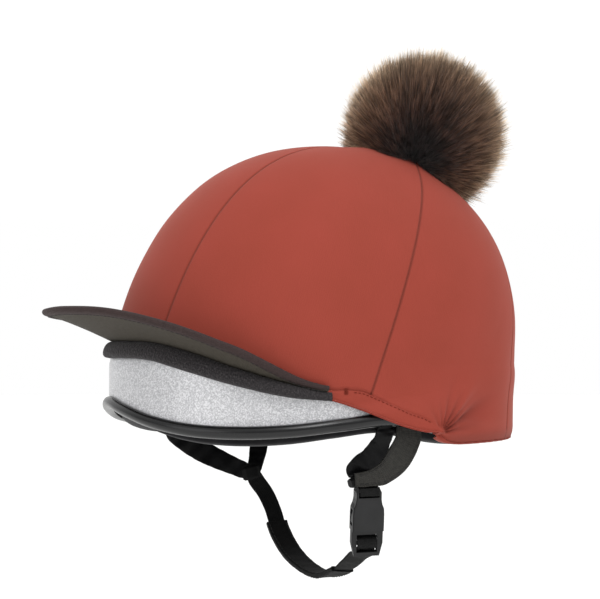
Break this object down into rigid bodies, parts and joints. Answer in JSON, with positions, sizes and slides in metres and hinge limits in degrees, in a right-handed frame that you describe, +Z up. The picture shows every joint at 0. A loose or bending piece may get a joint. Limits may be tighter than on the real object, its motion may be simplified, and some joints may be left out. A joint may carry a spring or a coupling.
{
  "type": "jockey cap",
  "caption": "Riding skull cap with a stretch cover in panels, a short stiff peak, a fur pompom and a buckled chin strap.",
  "frame": {"origin": "centre of the head opening, at the level where the crown is widest", "axes": "+Z up through the crown, -Y towards the peak, +X towards the wearer's left, the side of the buckle"},
  "size_m": [0.229, 0.3098, 0.3458],
  "materials": {
    "shell": "silver lacquer with fine glitter",
    "liner": "matt brushed lining cloth over foam",
    "trim": "satin moulded",
    "cover": "matt stretch jersey",
    "peak_cloth": "matt cloth over a stiff board",
    "band_cloth": "flecked knit",
    "fur": "dense brown fur with pale tips",
    "webbing": "woven webbing with a satin face",
    "buckle": "moulded nylon"
  },
  "bodies": {
    "root": {"helmet_shell": "shell", "head_liner": "liner", "rim_trim": "trim", "cover_panel_front": "cover", "cover_panel_left_front": "cover", "cover_panel_left_rear": "cover", "cover_panel_rear": "cover", "cover_panel_right_rear": "cover", "cover_panel_right_front": "cover", "cover_hem": "cover", "pompom_button": "cover", "peak": "peak_cloth", "peak_binding": "peak_cloth", "front_band": "band_cloth", "pompom": "fur", "left_front_strap": "webbing", "left_rear_strap": "webbing", "left_strap_joint": "webbing", "right_front_strap": "webbing", "right_rear_strap": "webbing", "right_strap_joint": "webbing", "buckle_loop": "webbing", "chin_strap": "webbing", "buckle_socket": "buckle", "buckle_plug": "buckle"}
  },
  "joints": []
}
